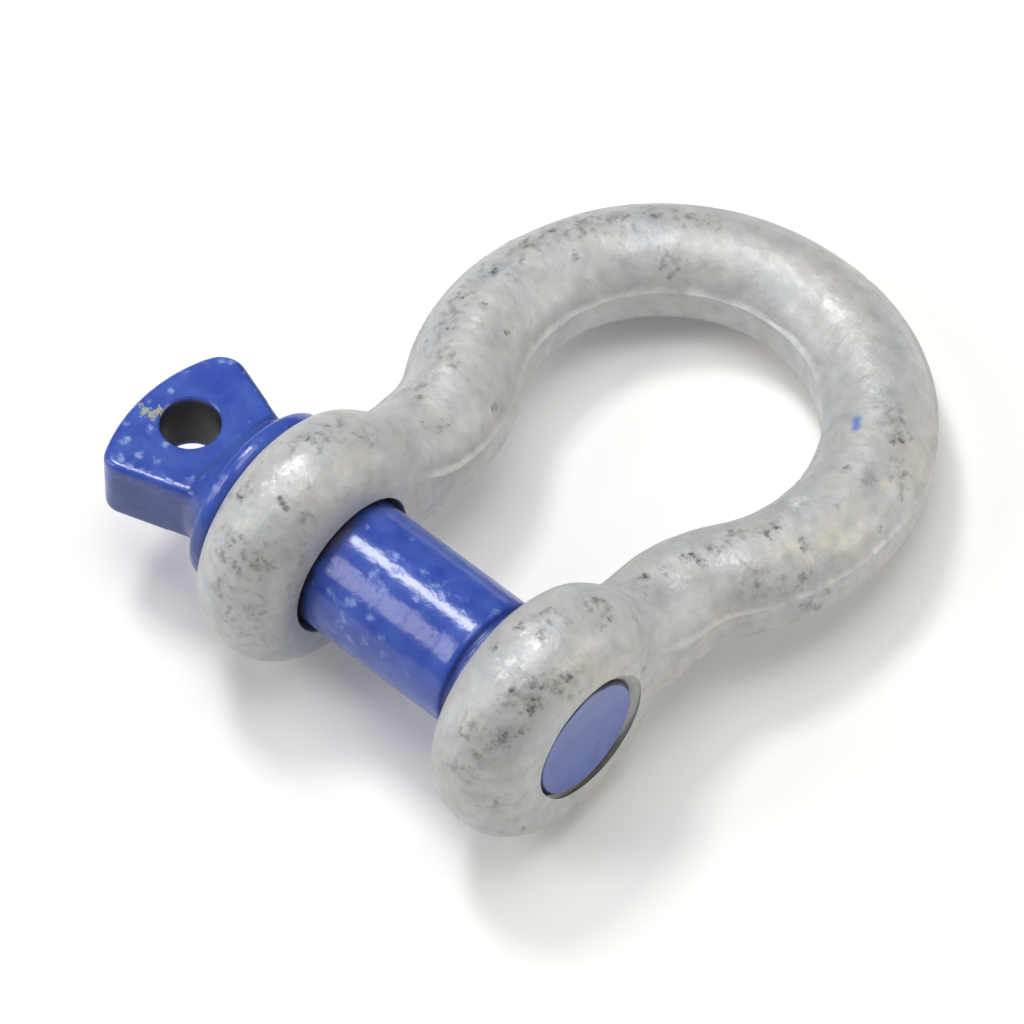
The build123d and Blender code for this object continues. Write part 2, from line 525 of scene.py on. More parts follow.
def fade(value, full, none):
    """1 where the value is full, 0 where it is none, and straight in between."""
    return min(max((value - none) / (full - none), 0), 1)


# %% Press the seam into the skin
seam_half, seam_foot_half, seam_growth = 1.9, 4.5, 1.3
seam_proud = 0.05
seam_wander, wander_scale = 0.12, 0.35
seam_end_y, seam_fade = neck_foot_y + 1.5, 3.5
snap_reach = 0.4 * bow_voxel

pressed = 0
for vert in bow_skin.verts:
    place = vert.co
    if place.y < seam_end_y:
        continue
    down_neck = fade(place.y, neck_foot_y, neck_top_y)
    wander = seam_wander * noise.noise(Vector((place.x, place.y, 0)) * wander_scale)
    half = part_way(seam_half, seam_foot_half, down_neck**seam_growth) + wander
    level = part_way(bar_radius, foot_half_across, down_neck) + seam_proud
    past_edge = abs(place.z) - half
    if past_edge > snap_reach:
        continue
    offset, outwards = beside_bar(place)
    if abs(offset) > level:
        continue
    if past_edge > -snap_reach and place.y > seam_end_y + seam_fade:
        place.z = math.copysign(half, place.z)
    step_out = math.copysign(level, offset) - offset
    step_out *= fade(place.y, seam_end_y + seam_fade, seam_end_y)
    place.x += outwards.x * step_out
    place.y += outwards.y * step_out
    pressed += 1
print("the seam moved", pressed, "vertices")

# %% [markdown]
# ## Lumps in the zinc
#
# Hot zinc runs and sets unevenly over rough forged steel, so no highlight on it is
# straight. Noise at two sizes lowers the skin by up to a sixth of a millimetre. It
# only lowers it, which keeps the bow inside its measured size. The seam gets the
# same lumps because it was there before the zinc.

# %% Lower the skin unevenly
forging_dent, forging_size = 0.11, 7.0
zinc_dent, zinc_size = 0.05, 2.6
zinc_start = Vector((40, 0, 0))  # so that the two sizes don't fall together

bow_skin.normal_update()
for vert in bow_skin.verts:
    forging = 0.5 + 0.5 * noise.noise(vert.co / forging_size)
    zinc = 0.5 + 0.5 * noise.noise(vert.co / zinc_size + zinc_start)
    vert.co -= vert.normal * (forging_dent * forging + zinc_dent * zinc)
bow_skin.transform(Matrix.Rotation(-rest_tilt, 4, "X"))
bow_skin.to_mesh(bow.data)
bow_skin.free()
print("at rest the crown is turned down by", round(math.degrees(rest_tilt), 2), "degrees")

# %% [markdown]
# ## The plain hole
#
# The left eye is drilled a little wider than the pin's thread, so that the pin
# slides through. The cutter is a turned rod with a cone at each end, which breaks
# the sharp edges of the hole, and a Boolean takes it out of the bow.

# %% Drill the left eye
eye_inner_x, eye_outer_x = jaw_width / 2, jaw_width / 2 + eye_thick
plain_hole_radius = 8.55
edge_break = 0.2
overshoot = 1.0


def drill_profile(near_x, far_x, radius, edge, rows=1):
    """A rod from one face to the other, with a cone that widens outside each face."""
    start, end, wide = near_x - overshoot, far_x + overshoot, radius + edge + overshoot
    wall = [part_way(near_x + edge, far_x - edge, row / rows) for row in range(rows + 1)]
    return [(start, 0), (start, wide), *((x, radius) for x in wall), (end, wide), (end, 0)]


drill_line = drill_profile(-eye_outer_x, -eye_inner_x, plain_hole_radius, edge_break)
cut_or_join(bow, turned_shape(drill_line), "DIFFERENCE")
print("after drilling the bow has", len(bow.data.polygons), "faces")

# %% [markdown]
# ## Screw threads
#
# A screw thread is a helix: a zigzag line that is spun around the axis and moves
# along it by one pitch in each turn. Blender's spin does both at once when it is
# given a step along the axis. After one full turn the end lines up with the next
# tooth, so merging the doubles closes the skin. The rod is made too long, cut off
# square at both ends, and trimmed like a lathe does where it has to run out. The
# same helper makes the pin's thread and the tap that cuts the thread in the eye, so
# the two always fit.

# %% A rod with a thread
pitch = 2.31
turn_steps = 72
tooth_rounding = 0.08
crest_at_top = 9.3  # x of a crest on the +Y side; it sets where both threads run out


def threaded_rod(root, crest, crest_width, root_width, start_x, end_x, extra_cuts):
    """A closed rod with a right-hand thread, cut square at both ends."""
    rod = bmesh.new()
    turns = math.ceil((end_x - start_x) / pitch) + 4
    first = math.floor((start_x - crest_at_top) / pitch) - 2
    tooth = (
        (-crest_width / 2, crest - tooth_rounding),
        (-crest_width / 4, crest),
        (crest_width / 4, crest),
        (crest_width / 2, crest - tooth_rounding),
        (pitch / 2 - root_width / 2, root + tooth_rounding),
        (pitch / 2 - root_width / 4, root),
        (pitch / 2 + root_width / 4, root),
        (pitch / 2 + root_width / 2, root + tooth_rounding),
    )
    line = []
    for turn in range(first, first + turns):
        line += [rod.verts.new((crest_at_top + turn * pitch + x, r, 0)) for x, r in tooth]
    zigzag = [rod.edges.new(pair) for pair in zip(line, line[1:])]
    along = (pitch / turn_steps, 0, 0)
    bmesh.ops.spin(
        rod, geom=line + zigzag, axis=(1, 0, 0), angle=math.tau, steps=turn_steps, dvec=along
    )
    bmesh.ops.remove_doubles(rod, verts=rod.verts[:], dist=0.001)
    for x in (start_x, end_x, *extra_cuts):
        bmesh.ops.bisect_plane(
            rod,
            geom=rod.verts[:] + rod.edges[:] + rod.faces[:],
            plane_co=(x, 0, 0),
            plane_no=(1, 0, 0),
            dist=0.0005,
            clear_inner=x == start_x,
            clear_outer=x == end_x,
        )
    close_and_turn_out(rod)
    ends = [face for face in rod.faces if len(face.verts) > turn_steps / 2]
    bmesh.ops.poke(rod, faces=ends)
    return rod


# %% Trim it as on a lathe
def trim(rod, least, most):
    """Keeps each vertex's radius between the two that are allowed at its x."""
    for vert in rod.verts:
        radius = math.hypot(vert.co.y, vert.co.z)
        if radius < 1:  # the middle of an end
            continue
        allowed = min(max(radius, least(vert.co.x)), most(vert.co.x))
        vert.co.y *= allowed / radius
        vert.co.z *= allowed / radius


print("a turn of the thread moves the pin", pitch, "mm")

# %% Tap the right eye
tap_root, tap_crest = 7.3, 8.52
tap_crest_width, tap_root_width = 0.42, 0.48
tap_break = 0.25
tap_start, tap_end = eye_inner_x - overshoot, eye_outer_x + overshoot
tap_cuts = (eye_outer_x - tap_break, eye_outer_x, eye_inner_x, eye_inner_x + tap_break)
tap_shape = threaded_rod(
    tap_root, tap_crest, tap_crest_width, tap_root_width, tap_start, tap_end, tap_cuts
)


def countersink(x):
    """How wide the tap is at least: it opens out at both faces of the eye."""
    outside = max(x - eye_outer_x, eye_inner_x - x) + tap_break
    return tap_root + max(0, min(outside, 2 * tap_break))


trim(tap_shape, countersink, lambda x: tap_crest)
cut_or_join(bow, tap_shape, "DIFFERENCE")
print("the finished bow has", len(bow.data.polygons), "faces")

# %% [markdown]
# ## The lug of the pin
#
# The flat lug is what fingers or a spike turn the pin by. Seen from above it has an
# arched end and sides that draw in towards the pin. The arch is one vertex spun
# around the arch's centre. Two more vertices finish the outline, the face is
# extruded to the thickness, and bevels round first the two upright corners and then
# the rims.

# %% Sizes of the lug
lug_mount = mounts["lug_hole"]
pin_low, pin_high = (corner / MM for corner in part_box("screw_pin"))
lug_end_x, lug_flat_start = pin_low.x, -29.55
lug_thick, lug_half_wide, lug_root_half = 8.5, 10.55, 7.6
lug_sunk = 1.5  # how far its plate runs on inside the flare
arch_radius, arch_steps = 20.0, 12

arch_middle = lug_end_x + arch_radius
arch_angle = math.asin(lug_half_wide / arch_radius)
corner_x = arch_middle - arch_radius * math.cos(arch_angle)
side_slope = (lug_half_wide - lug_root_half) / (lug_flat_start - corner_x)
sunk_x, sunk_half = lug_flat_start + lug_sunk, lug_root_half - side_slope * lug_sunk
print("the lug is", round(2 * lug_half_wide, 1), "mm wide and", lug_thick, "mm thick")

# %% Shape the lug
lug_shape = bmesh.new()
arch_start = lug_shape.verts.new((corner_x, lug_half_wide, -lug_thick / 2))
bmesh.ops.spin(
    lug_shape,
    geom=[arch_start],
    cent=(arch_middle, 0, 0),
    axis=(0, 0, 1),
    angle=2 * arch_angle,
    steps=arch_steps,
)
outline = lug_shape.verts[:]
lug_shape.verts.remove(outline.pop(1))  # the corner beside it is rounded wider
for side in (-1, 1):
    outline.append(lug_shape.verts.new((sunk_x, side * sunk_half, -lug_thick / 2)))
lug_face = lug_shape.faces.new(outline)
raised = verts_among(bmesh.ops.extrude_face_region(lug_shape, geom=[lug_face])["geom"])
bmesh.ops.translate(lug_shape, verts=raised, vec=(0, 0, lug_thick))
turn_out(lug_shape)
print("the lug's outline has", len(outline), "corners")

# %% Round its corners and rims
corner_reaches = ((-1, 1.8), (1, 2.6))
corner_segments = 6
rim_reach, rim_segments = 0.75, 4
near_enough = 0.01


def round_edges(bm, edges, offset, segments):
    """A round bevel along these edges."""
    bmesh.ops.bevel(
        bm, geom=edges, offset=offset, affect="EDGES", segments=segments, profile=0.5, material=-1
    )


def is_corner(edge, side):
    """An upright edge where the arch meets the side of the lug towards +Y or -Y."""
    low, high = (vert.co for vert in edge.verts)
    at_corner = abs(low.x - corner_x) < near_enough
    at_side = abs(low.y - side * lug_half_wide) < near_enough
    return abs(low.z - high.z) > lug_thick / 2 and at_corner and at_side


def is_rim(edge):
    """An edge around the top or the bottom, but not where the lug sinks into the pin."""
    flat = abs(edge.verts[0].co.z - edge.verts[1].co.z) < near_enough
    return flat and min(vert.co.x for vert in edge.verts) < lug_flat_start


for side, reach in corner_reaches:
    corners = [edge for edge in lug_shape.edges if is_corner(edge, side)]
    round_edges(lug_shape, corners, reach, corner_segments)
rims = [edge for edge in lug_shape.edges if is_rim(edge)]
round_edges(lug_shape, rims, rim_reach, rim_segments)
print("the lug has", len(lug_shape.faces), "faces")

# %% [markdown]
# ## The hollow flare and the collar
#
# Behind the lug the forging swells into a round collar in one hollow curve. It is a
# stack of rings again. Each ring starts as a circle and is pushed towards a rounded
# rectangle, fully so beside the lug and not at all at the collar. The collar itself
# is turned, with rounded edges.

# %% Draw the flare
collar_in, collar_out = -23.35, -25.65
collar_radius, collar_rounding = 10.7, 0.9
flare_sides, flare_steps = 96, 14
flare_start, flare_end = lug_flat_start - 1.0, collar_out + 0.4
flare_tuck = 0.3  # how far its foot stays inside the faces of the lug
flare_end_radius = collar_radius - collar_rounding
wide_growth, thick_growth, round_growth = 2.3, 1.7, 0.6
square_power, circle_power = 6.0, 2.0


def squared(ring, x, half_wide, half_thick, power):
    """Shapes a ring into an oval, which turns into a rectangle as the power grows."""
    for number, vert in enumerate(ring):
        angle = math.tau * number / len(ring)
        wide, thick = math.cos(angle), math.sin(angle)
        vert.co = (
            x,
            half_wide * math.copysign(abs(wide) ** (2 / power), wide),
            half_thick * math.copysign(abs(thick) ** (2 / power), thick),
        )


flare_shape = bmesh.new()
ring = bmesh.ops.create_circle(flare_shape, segments=flare_sides, radius=1)["verts"]
for step in range(flare_steps + 1):
    share = step / flare_steps
    if step:
        ring = next_ring(flare_shape, ring)
    squared(
        ring,
        part_way(flare_start, flare_end, share),
        part_way(lug_root_half - flare_tuck, flare_end_radius, share**wide_growth),
        part_way(lug_thick / 2 - flare_tuck, flare_end_radius, share**thick_growth),
        part_way(square_power, circle_power, share**round_growth),
    )
close_and_turn_out(flare_shape)
print("the flare is", round(collar_out - flare_start, 2), "mm long")

# %% Turn the collar
corner_steps = 5
collar_line = [(collar_out, 0)]
for x, quarter in ((collar_out + collar_rounding, 2), (collar_in - collar_rounding, 1)):
    collar_line += rounding(
        x, flare_end_radius, collar_rounding, collar_rounding, quarter, quarter - 1, corner_steps
    )
collar_line.append((collar_in, 0))
collar_shape = turned_shape(collar_line)
print("the collar is", round(collar_in - collar_out, 2), "mm thick")

# %% [markdown]
# ## The head as one forging
#
# Lug, flare and collar melt into one skin as the bow did, with finer voxels because
# the paint is glossy and shows every step. Smoothing then rounds the hollow between
# lug and flare. The spike's hole is drilled afterwards, so that its edge stays
# crisp, and the head is turned a little to where the thread came tight.

# %% Melt the head and smooth it
head_voxel = 0.22
whole_head = (lug_end_x - 1, collar_in - 0.2, 3)  # from x to x, passes
hollow = (lug_flat_start - 1.5, collar_out - 0.3, 14)

head_shape = bmesh.new()
for shape in (lug_shape, flare_shape, collar_shape):
    add_shape(head_shape, shape)
pin = make_object(head_shape, "blue_screw_pin")
head_skin = fuse(pin, head_voxel)
for low_x, high_x, passes in (whole_head, hollow):
    smooth(head_skin, [vert for vert in head_skin.verts if low_x < vert.co.x < high_x], passes)
head_skin.to_mesh(pin.data)
head_skin.free()
print("the head's skin has", len(pin.data.polygons), "faces")

# %% Drill the spike's hole and turn the head
spike_radius = lug_mount["dims"]["r_mm"]
spike_x = lug_mount["pos_m"][0] / MM
spike_break, spike_rows, spike_sides = 0.22, 12, 72

spike_wall = drill_profile(-lug_thick / 2, lug_thick / 2, spike_radius, spike_break, spike_rows)
spike_drill = turned_shape(spike_wall, spike_sides)
spike_drill.transform(Matrix.Translation((spike_x, 0, 0)) @ Matrix.Rotation(-math.pi / 2, 4, "Y"))
cut_or_join(pin, spike_drill, "DIFFERENCE")

lug_turn = -math.atan2(lug_mount["axis"][1], lug_mount["axis"][2])
pin.data.transform(Matrix.Rotation(lug_turn, 4, "X"))
print("the head is turned", round(math.degrees(lug_turn), 1), "degrees")

# %% [markdown]
# ## The shank and the thread of the pin
#
# The smooth shank is turned. Its long straight line is first divided into short
# pieces, because paint wear is stored on the vertices later and needs enough of
# them. A soft groove ends it, in front of the first turn of the thread.

# %% Turn the shank
shank_start, shank_end = collar_in - 1.2, 8.3
shank_rows, shank_sides = 84, 144
groove_x, groove_radius, groove_steps = 9.0, 7.25, 6
thread_start, shank_lap = 9.15, 0.5

shank_line = [(shank_start, 0)]
for row in range(shank_rows + 1):
    shank_line.append((part_way(shank_start, shank_end, row / shank_rows), pin_radius))
for step in range(1, groove_steps + 1):
    share = step / groove_steps
    soft = share * share * (3 - 2 * share)
    radius = part_way(pin_radius, groove_radius, soft)
    shank_line.append((part_way(shank_end, groove_x, share), radius))
shank_line += [(thread_start + shank_lap, groove_radius), (thread_start + shank_lap, 0)]
cut_or_join(pin, turned_shape(shank_line, shank_sides), "UNION")
print("shank and head have", len(pin.data.polygons), "faces")

# %% Cut the thread and its chamfered tip
thread_root, thread_crest = 7.1, 8.4
crest_width, root_width = 0.50, 0.40
thread_sunk, run_out_slope = 0.05, 1.8
tip_x, tip_radius = pin_high.x, 6.86
cut_gap = 0.25  # between the extra rows that the chamfer and the run-out need
thread_cuts = [tip_x - cut_gap * cut for cut in range(1, 7)]
thread_cuts += [thread_start + cut_gap * cut for cut in range(1, 5)]
thread_shape = threaded_rod(
    thread_root, thread_crest, crest_width, root_width, thread_start, tip_x, thread_cuts
)


def run_out(x):
    """How wide the thread is at most: it rises out of the groove and ends in a chamfer."""
    rise = groove_radius - thread_sunk + run_out_slope * (x - thread_start)
    return min(rise, thread_crest, tip_radius + (tip_x - x))


trim(thread_shape, lambda x: 0, run_out)
cut_or_join(pin, thread_shape, "UNION")
print("the finished pin has", len(pin.data.polygons), "faces")

# %% [markdown]
# ## Into metres, with smooth shading
#
# Both pieces are shrunk from millimetres to metres in their meshes, so the objects
# themselves stay unscaled at the origin. Faces are shaded smooth, and edges that
# turn by more than a set angle stay sharp, which keeps the holes and threads crisp.

# %% Finish the meshes
sharp_angle = math.radians(38)
for piece in (bow, pin):
    skin = bmesh.new()
    skin.from_mesh(piece.data)
    bmesh.ops.remove_doubles(skin, verts=skin.verts[:], dist=0.002)
    bmesh.ops.dissolve_degenerate(skin, dist=0.001, edges=skin.edges[:])
    bmesh.ops.triangulate(skin, faces=[face for face in skin.faces if len(face.verts) > 4])
    open_edges = sum(not edge.is_manifold for edge in skin.edges)
    triangles = sum(len(face.verts) - 2 for face in skin.faces)
    skin.transform(Matrix.Scale(MM, 4))
    skin.to_mesh(piece.data)
    volume = round(skin.calc_volume(signed=True) / MM**3)
    skin.free()
    piece.data.shade_smooth()
    piece.data.set_sharp_from_angle(angle=sharp_angle)
    print(piece.name, "has", triangles, "triangles and", open_edges, "open edges")
    print("its volume is", volume, "cubic mm")

# %% [markdown]
# ## Marks at their own places
#
# Noise can spread specks evenly, but wear isn't even: it gathers where the shackle
# was dragged, knocked or held. Each kind of mark has a reach, and a list of places
# on the skin as x, y, z and size, in millimetres and in shares of that reach. Some
# of the places are painted light: highlights on the pin, and a lit rim and a warm
# glow on the zinc. Every vertex then stores how much of the mark it has, and the
# materials break it up with fine noise.

# %% A helper that stores marks on the vertices
full_share = 0.25  # up to this share of its reach a mark is full


def store_marks(piece, name, places, reach):
    """Gives each vertex a value from 0 to 1: how near it is to one of the places."""
    mesh = piece.data
    points = np.empty(len(mesh.vertices) * 3, np.float32)
    mesh.vertices.foreach_get("co", points)
    points = points.reshape(-1, 3) / MM
    amount = np.zeros(len(points), np.float32)
    for *place, size in places:
        distance = np.linalg.norm(points - np.array(place, np.float32), axis=1)
        here = np.clip(1 + full_share - distance / (reach * size), 0, 1)
        amount = np.maximum(amount, here)
    layer = mesh.attributes.new(name, "FLOAT", "POINT")
    layer.data.foreach_set("value", amount)
    print(name, "touches", int((amount > 0).sum()), "vertices of", piece.name)


# %% Dark specks on the zinc
speck_places = [
    # the tops of both eyes
    (-18.7, 5.5, 14, 0.7), (-18.5, 2.7, 14.8, 0.9), (-16.1, -11.7, 9.6, 1), (-14.4, -10.9, 9.7, 1),
    (-13.3, -9.9, 9.9, 0.9), (-16.6, -13, 7.8, 0.9), (-20.3, -6.6, 12.8, 0.8),
    (-18, -10.8, 10.6, 0.8), (20.5, 11.2, 8.8, 0.9), (18.3, 8.5, 12.5, 1.1), (20.1, 7.4, 12.5, 0.8),
    (20.8, -3.8, 13.6, 1.1), (20.8, -5.6, 12.9, 1.2), (21.5, -5.9, 12.1, 1.1),
    (19, -6.6, 13.4, 0.8), (22.2, -1.1, 12.6, 1), (22.3, 0.5, 12.6, 0.8), (22, -2.5, 12.8, 0.9),
    (20.9, -9.7, 10.1, 1.2), (21.8, -8, 10.5, 0.9), (19.1, -12.5, 8.1, 0.8),
    (14.9, -0.2, 14.8, 0.8), (17.4, 0, 15.2, 0.8), (14, -3.7, 13.9, 0.7), (23.2, 9.1, 2.9, 0.7),
    (22.7, -10.3, -6, 0.7), (21.6, -12.3, -5.4, 0.7),
    # the left leg and the outside of the bow
    (-14.4, 18.5, 3.1, 0.9), (-15.3, 16.5, 4.5, 0.7), (-18.5, 19.5, 3.4, 0.8),
    (-22.2, 33.6, 1.6, 0.7), (-13, 24.9, 0.3, 0.6), (-18.4, 32.8, 0.6, 0.5),
    (-19.9, 45.9, -0.6, 0.8), (-24.4, 46.7, -0.8, 0.8), (-22.7, 49.7, -1.1, 0.8),
    (-25, 38, 0.6, 0.8), (-17.7, 55.8, -1.8, 0.7), (-25.2, 33, 0.9, 0.7), (-23.4, 28, 1.6, 0.7),
    (-24.9, 43, -0.2, 0.7), (-20.6, 52.4, -1.4, 0.7),
    # the right leg and the crown
    (15.9, 17.8, 3.9, 0.8), (16.7, 19.2, 3.6, 0.8), (17.2, 23.2, 3.1, 1), (18.7, 23.5, 2.9, 0.9),
    (18.5, 27.7, 2.3, 0.7), (19.2, 29.5, 2, 0.7), (21, 31.1, 1.9, 0.9), (21.1, 32.7, 1.6, 1.1),
    (24.8, 33, 1.1, 0.9), (28.4, 41.4, -2.8, 0.6), (28.6, 31.8, -3.8, 0.8), (28.4, 30.7, -5.4, 0.8),
    (22.6, 51.5, -1.7, 1.1), (22.3, 50.1, -1.1, 0.8), (21.2, 43.9, -0.1, 0.6),
]
store_marks(bow, "specks", speck_places, reach=1.9)

# %% Grey scuffs on the zinc
scuff_places = [
    # a belt along the outside of the crown's left half, down to the left eye
    (-12.7, 59.6, -2.3, 0.9), (-15.7, 58, -2.1, 1.1), (-18.3, 55.9, -1.9, 1.2),
    (-20.3, 53.3, -1.5, 1.2), (-22, 50.3, -1.1, 1.3), (-23.6, 47.2, -0.7, 1.3),
    (-24.8, 43.6, -0.3, 1.2), (-25.6, 41.2, -0.1, 1.2), (-25.6, 38.1, 0.3, 1.3),
    (-25.7, 34.9, 0.6, 1.2), (-25.5, 32.3, 0.7, 1.2), (-24.3, 29.4, 1.2, 1.2), (-23.9, 26.5, 1, 1),
    (-20.4, 20.4, 2.6, 1.1), (-20.6, 25.9, 2.4, 0.9), (-12.4, 52.7, -3.1, 1),
    # the left eye
    (-17.7, 4.5, 14.5, 1.1), (-19.4, 1.4, 14.7, 1), (-20.2, -6.3, 13, 1), (-16, -11.8, 9.5, 1.2),
    (-13.8, -10.1, 10.2, 1.1), (-12.9, -12.6, 4.9, 1.2), (-12.7, -4, 12.8, 0.9),
    (-15, 7.9, 12.6, 0.9), (-17.1, -14, 6, 1.1), (-12.7, -13.4, -0.4, 1.1), (-11.1, -9, 5.2, 0.9),
    (-18.9, -11.6, 9.4, 1), (-15, -14.6, 2.7, 1.1),
    # elsewhere
    (19.6, 52.6, -1.2, 1.2), (25.2, 47.7, -1.6, 1), (26.8, 47.3, -3, 0.8), (23.7, 26.1, 1.1, 1.1),
    (26.5, 29.8, -0.5, 1), (28, 29.7, -4.1, 0.8), (18.5, 28.5, 2.1, 0.9), (18.1, 25.4, 2.7, 0.9),
    (24.3, 44.4, -0.3, 0.8), (16.5, 2.8, 14.9, 1), (20.2, -6, 13.1, 1.3), (22.7, -1.8, 11.8, 1.1),
    (19.8, -11.2, 9.4, 1.1), (16.8, -11.1, 10.4, 1), (18.5, -13.9, 5.9, 1.1), (22.1, -12.8, 1.4, 1),
    (18.8, 7.4, 13, 1.2), (16, 16.5, 4.7, 1), (-15.4, -2.9, 14.7, 1), (-17.1, 2.9, 14.9, 1),
    (-11.7, -7.4, 9.5, 1), (-16.6, -10.5, 11, 1), (-19, -10.2, 11, 0.8), (-18.2, 6.5, 13.6, 0.9),
]
store_marks(bow, "scuffs", scuff_places, reach=3.6)

# %% Pale and cream patches, partly painted light, a spot of blue paint and a pit
pale_places = [
    (17.8, -0.8, 15.1, 1.1), (17.1, -5.1, 14.3, 1.2), (15.8, -0.4, 15.1, 0.9),
    (17.8, -3.8, 14.7, 0.8), (-17.2, -0.3, 15.2, 1), (-17.4, -2.3, 15, 1), (-17.7, -4.6, 14.4, 0.8),
    (20.1, 25.6, 2.5, 1.2), (20.7, 36.8, 0.7, 1), (18.8, 20.3, 3.3, 1), (-19.6, 23.5, 2.7, 1.2),
    (-21.5, 31.2, 1.9, 0.8),
    # painted light on the lit mouth of the tapped hole
    (23, 6.6, 4.4, 0.9), (23, 7.6, 2, 0.9), (23, 5, 6.2, 0.8),
]
store_marks(bow, "pale", pale_places, reach=2.2)

# cream zinc; on the right leg's outer bend partly a painted pool of warm light
cream_places = [
    (24.6, 32.6, 1.2, 1.1), (24.9, 34.7, 1, 1.2), (25.1, 36.8, 0.7, 1.3), (25.1, 39.3, 0.4, 1.1),
    (24.4, 41.7, 0.2, 0.9), (23.4, 30, 1.7, 0.9), (25.7, 45.6, -1.2, 1), (26.7, 37.2, -0.2, 1.2),
    (27.4, 39.7, -1.2, 1), (25.8, 35.1, 0.5, 0.8), (24.9, 37.9, 0.6, 0.8), (26.5, 32.4, 0, 0.8),
    (27.1, 43.3, -1.6, 0.8), (22, -1.5, 12.9, 1.2), (21.8, -3.5, 12.7, 0.9), (18, 9.3, 11.9, 0.8),
    (16.3, -11, 10.4, 1.1), (-17.3, -8.5, 12.6, 1.2), (-13.5, 2.3, 13.9, 1.1),
]
store_marks(bow, "cream", cream_places, reach=2.2)

spot_places = [(17.4, 49.8, -1.3, 1), (17.8, 49.4, -1.3, 0.7), (18.1, 49, -1.2, 0.9)]
store_marks(bow, "blue_spot", spot_places, reach=0.8)
pit_places = [(-15.9, -4.8, 14.3, 0.9), (-15.3, -5, 14.1, 1), (-14.7, -5.1, 13.9, 1)]
store_marks(bow, "pit", pit_places, reach=0.55)

# %% Chips, wear and painted highlights on the blue paint
bare_places = [
    (-40.6, -1.6, 4.4, 1), (-39.6, -1.7, 4.4, 1.2), (-38.8, -1.6, 4.4, 1.3), (-38.6, -0.6, 4.4, 1),
]
store_marks(pin, "bare", bare_places, reach=1.1)

chip_and_highlight_places = [
    # the shank: chips, and painted highlights by the lamps' stripes and the thread's first turn
    (-5.2, 3.4, 7.1, 0.8), (-4.9, 0.3, 7.8, 1.1), (-3.1, -0.7, 7.8, 1.1), (1, 0.6, 7.8, 1.2),
    (2.5, 0.2, 7.8, 1.2), (4.9, 1.3, 7.7, 1), (5.6, -0.2, 7.8, 0.8), (-4.6, -2.7, 7.4, 1.4),
    (-2.9, -3, 7.2, 1.3), (-3.4, -5.1, 6, 1.1), (-6.2, -6.4, 4.5, 1.2), (-6.1, -6.9, 3.7, 1),
    (-3.8, 0.5, 7.8, 1.1), (-5.7, -5.7, 5.4, 1.3), (-6.6, -3.6, 7, 1), (-2.2, -7.3, 2.9, 1),
    (-8.2, -6.1, 4.9, 1), (-0.9, 1.1, 7.8, 0.9), (-2.3, -5.9, 5.2, 1), (-8.9, -7.7, 1.6, 1.2),
    (-5.8, -7.3, 2.8, 1.2), (-4.2, -7.7, 1.4, 1.1), (0.6, -7.3, 2.8, 0.9), (8.3, 2.5, 7.4, 0.8),
    (-2.6, -7.2, 3.1, 0.7), (-0.4, -6.5, 4.3, 0.8), (0.6, -1.7, 7.7, 0.8), (-8.4, -1.2, 7.7, 0.8),
    (-9.5, 1.2, 7.8, 0.8), (-9.1, -4.3, 6.6, 0.9), (4, -7.5, 2.4, 0.8), (6, -6.5, 4.4, 0.7),
    (8, -0.3, 7.8, 0.6), (9.8, 1.2, 8.2, 1.4), (9.8, -0.8, 8.3, 1.5), (9.8, -3, 7.8, 1.2),
    (10, -5.6, 6.2, 0.9),
    # the lug and its front rim, worn pale; painted highlight streaks on the flare and collar
    (-38.6, -6.1, 4.8, 0.9), (-36, -6.5, 4.8, 0.9), (-37.5, -3.3, 4.6, 0.8),
    (-34.9, -3.7, 4.6, 0.7), (-33.9, -5.9, 4.8, 0.8), (-37.7, -8.1, 5, 0.9),
    (-36.8, -9.7, 3.3, 0.7), (-40.3, -0.4, 4.3, 0.6), (-40.1, 5, 3.8, 0.6), (-39.5, 7.4, 3.6, 0.7),
    (-37.4, 9.2, 3.5, 0.7), (-35.4, 9.4, 3.2, 0.6), (-38, -8.5, 5, 0.6), (-37, -8.3, 5, 0.7),
    (-35.8, -8.2, 5, 0.7), (-34.6, -7.8, 4.9, 0.7), (-33.5, -7.5, 4.9, 0.7),
    (-32.3, -7.1, 4.9, 0.7), (-31.2, -6.8, 4.9, 0.7), (-29.4, -5.2, 4.7, 0.8),
    (-28.8, -4.4, 5.2, 0.8), (-26.4, -0.3, 8.7, 0.9), (-27.9, 1.7, 6.3, 0.9),
    (-24.7, -5.9, 8.9, 0.8), (-24.8, -4.9, 9.5, 0.7), (-25.8, -7.1, 6.6, 0.8),
    (-35.1, -9.1, 3.9, 0.6), (-39.6, 2, 4.3, 0.7), (-40, -4.5, 4.6, 0.8), (-38.3, 8.8, 3.4, 0.8),
]
store_marks(pin, "chips_and_highlights", chip_and_highlight_places, reach=1.3)

# %% [markdown]
# ## Grime and painted shade on the pin
#
# The pin is painted near black where shade falls: in the spike's hole, over bare
# steel, on the sides of the lug, on the lower half of the flare and the collar, on
# the tip's chamfer, in the groove and where the shank enters either eye. In the roots
# of the thread and inside the left eye it is grime and painted shade. Such places
# follow the shape, so they need no list. A rule looks at where a vertex lies and
# says how dark it is, and the vertex stores that. The pin's flat end is painted
# paler towards its top, as painted light.


# %% A helper that stores values by a rule
def store_values(piece, name, value_at):
    """Gives each vertex the value that a rule finds for its place in millimetres."""
    layer = piece.data.attributes.new(name, "FLOAT", "POINT")
    for vertex, entry in zip(piece.data.vertices, layer.data):
        entry.value = value_at(vertex.co / MM)
    touched = sum(entry.value > 0 for entry in layer.data)
    print(name, "touches", touched, "vertices of", piece.name)


# %% Grime and painted shade on the pin
spike_middle, spike_axis = Vector((spike_x, 0, 0)), Vector(lug_mount["axis"])
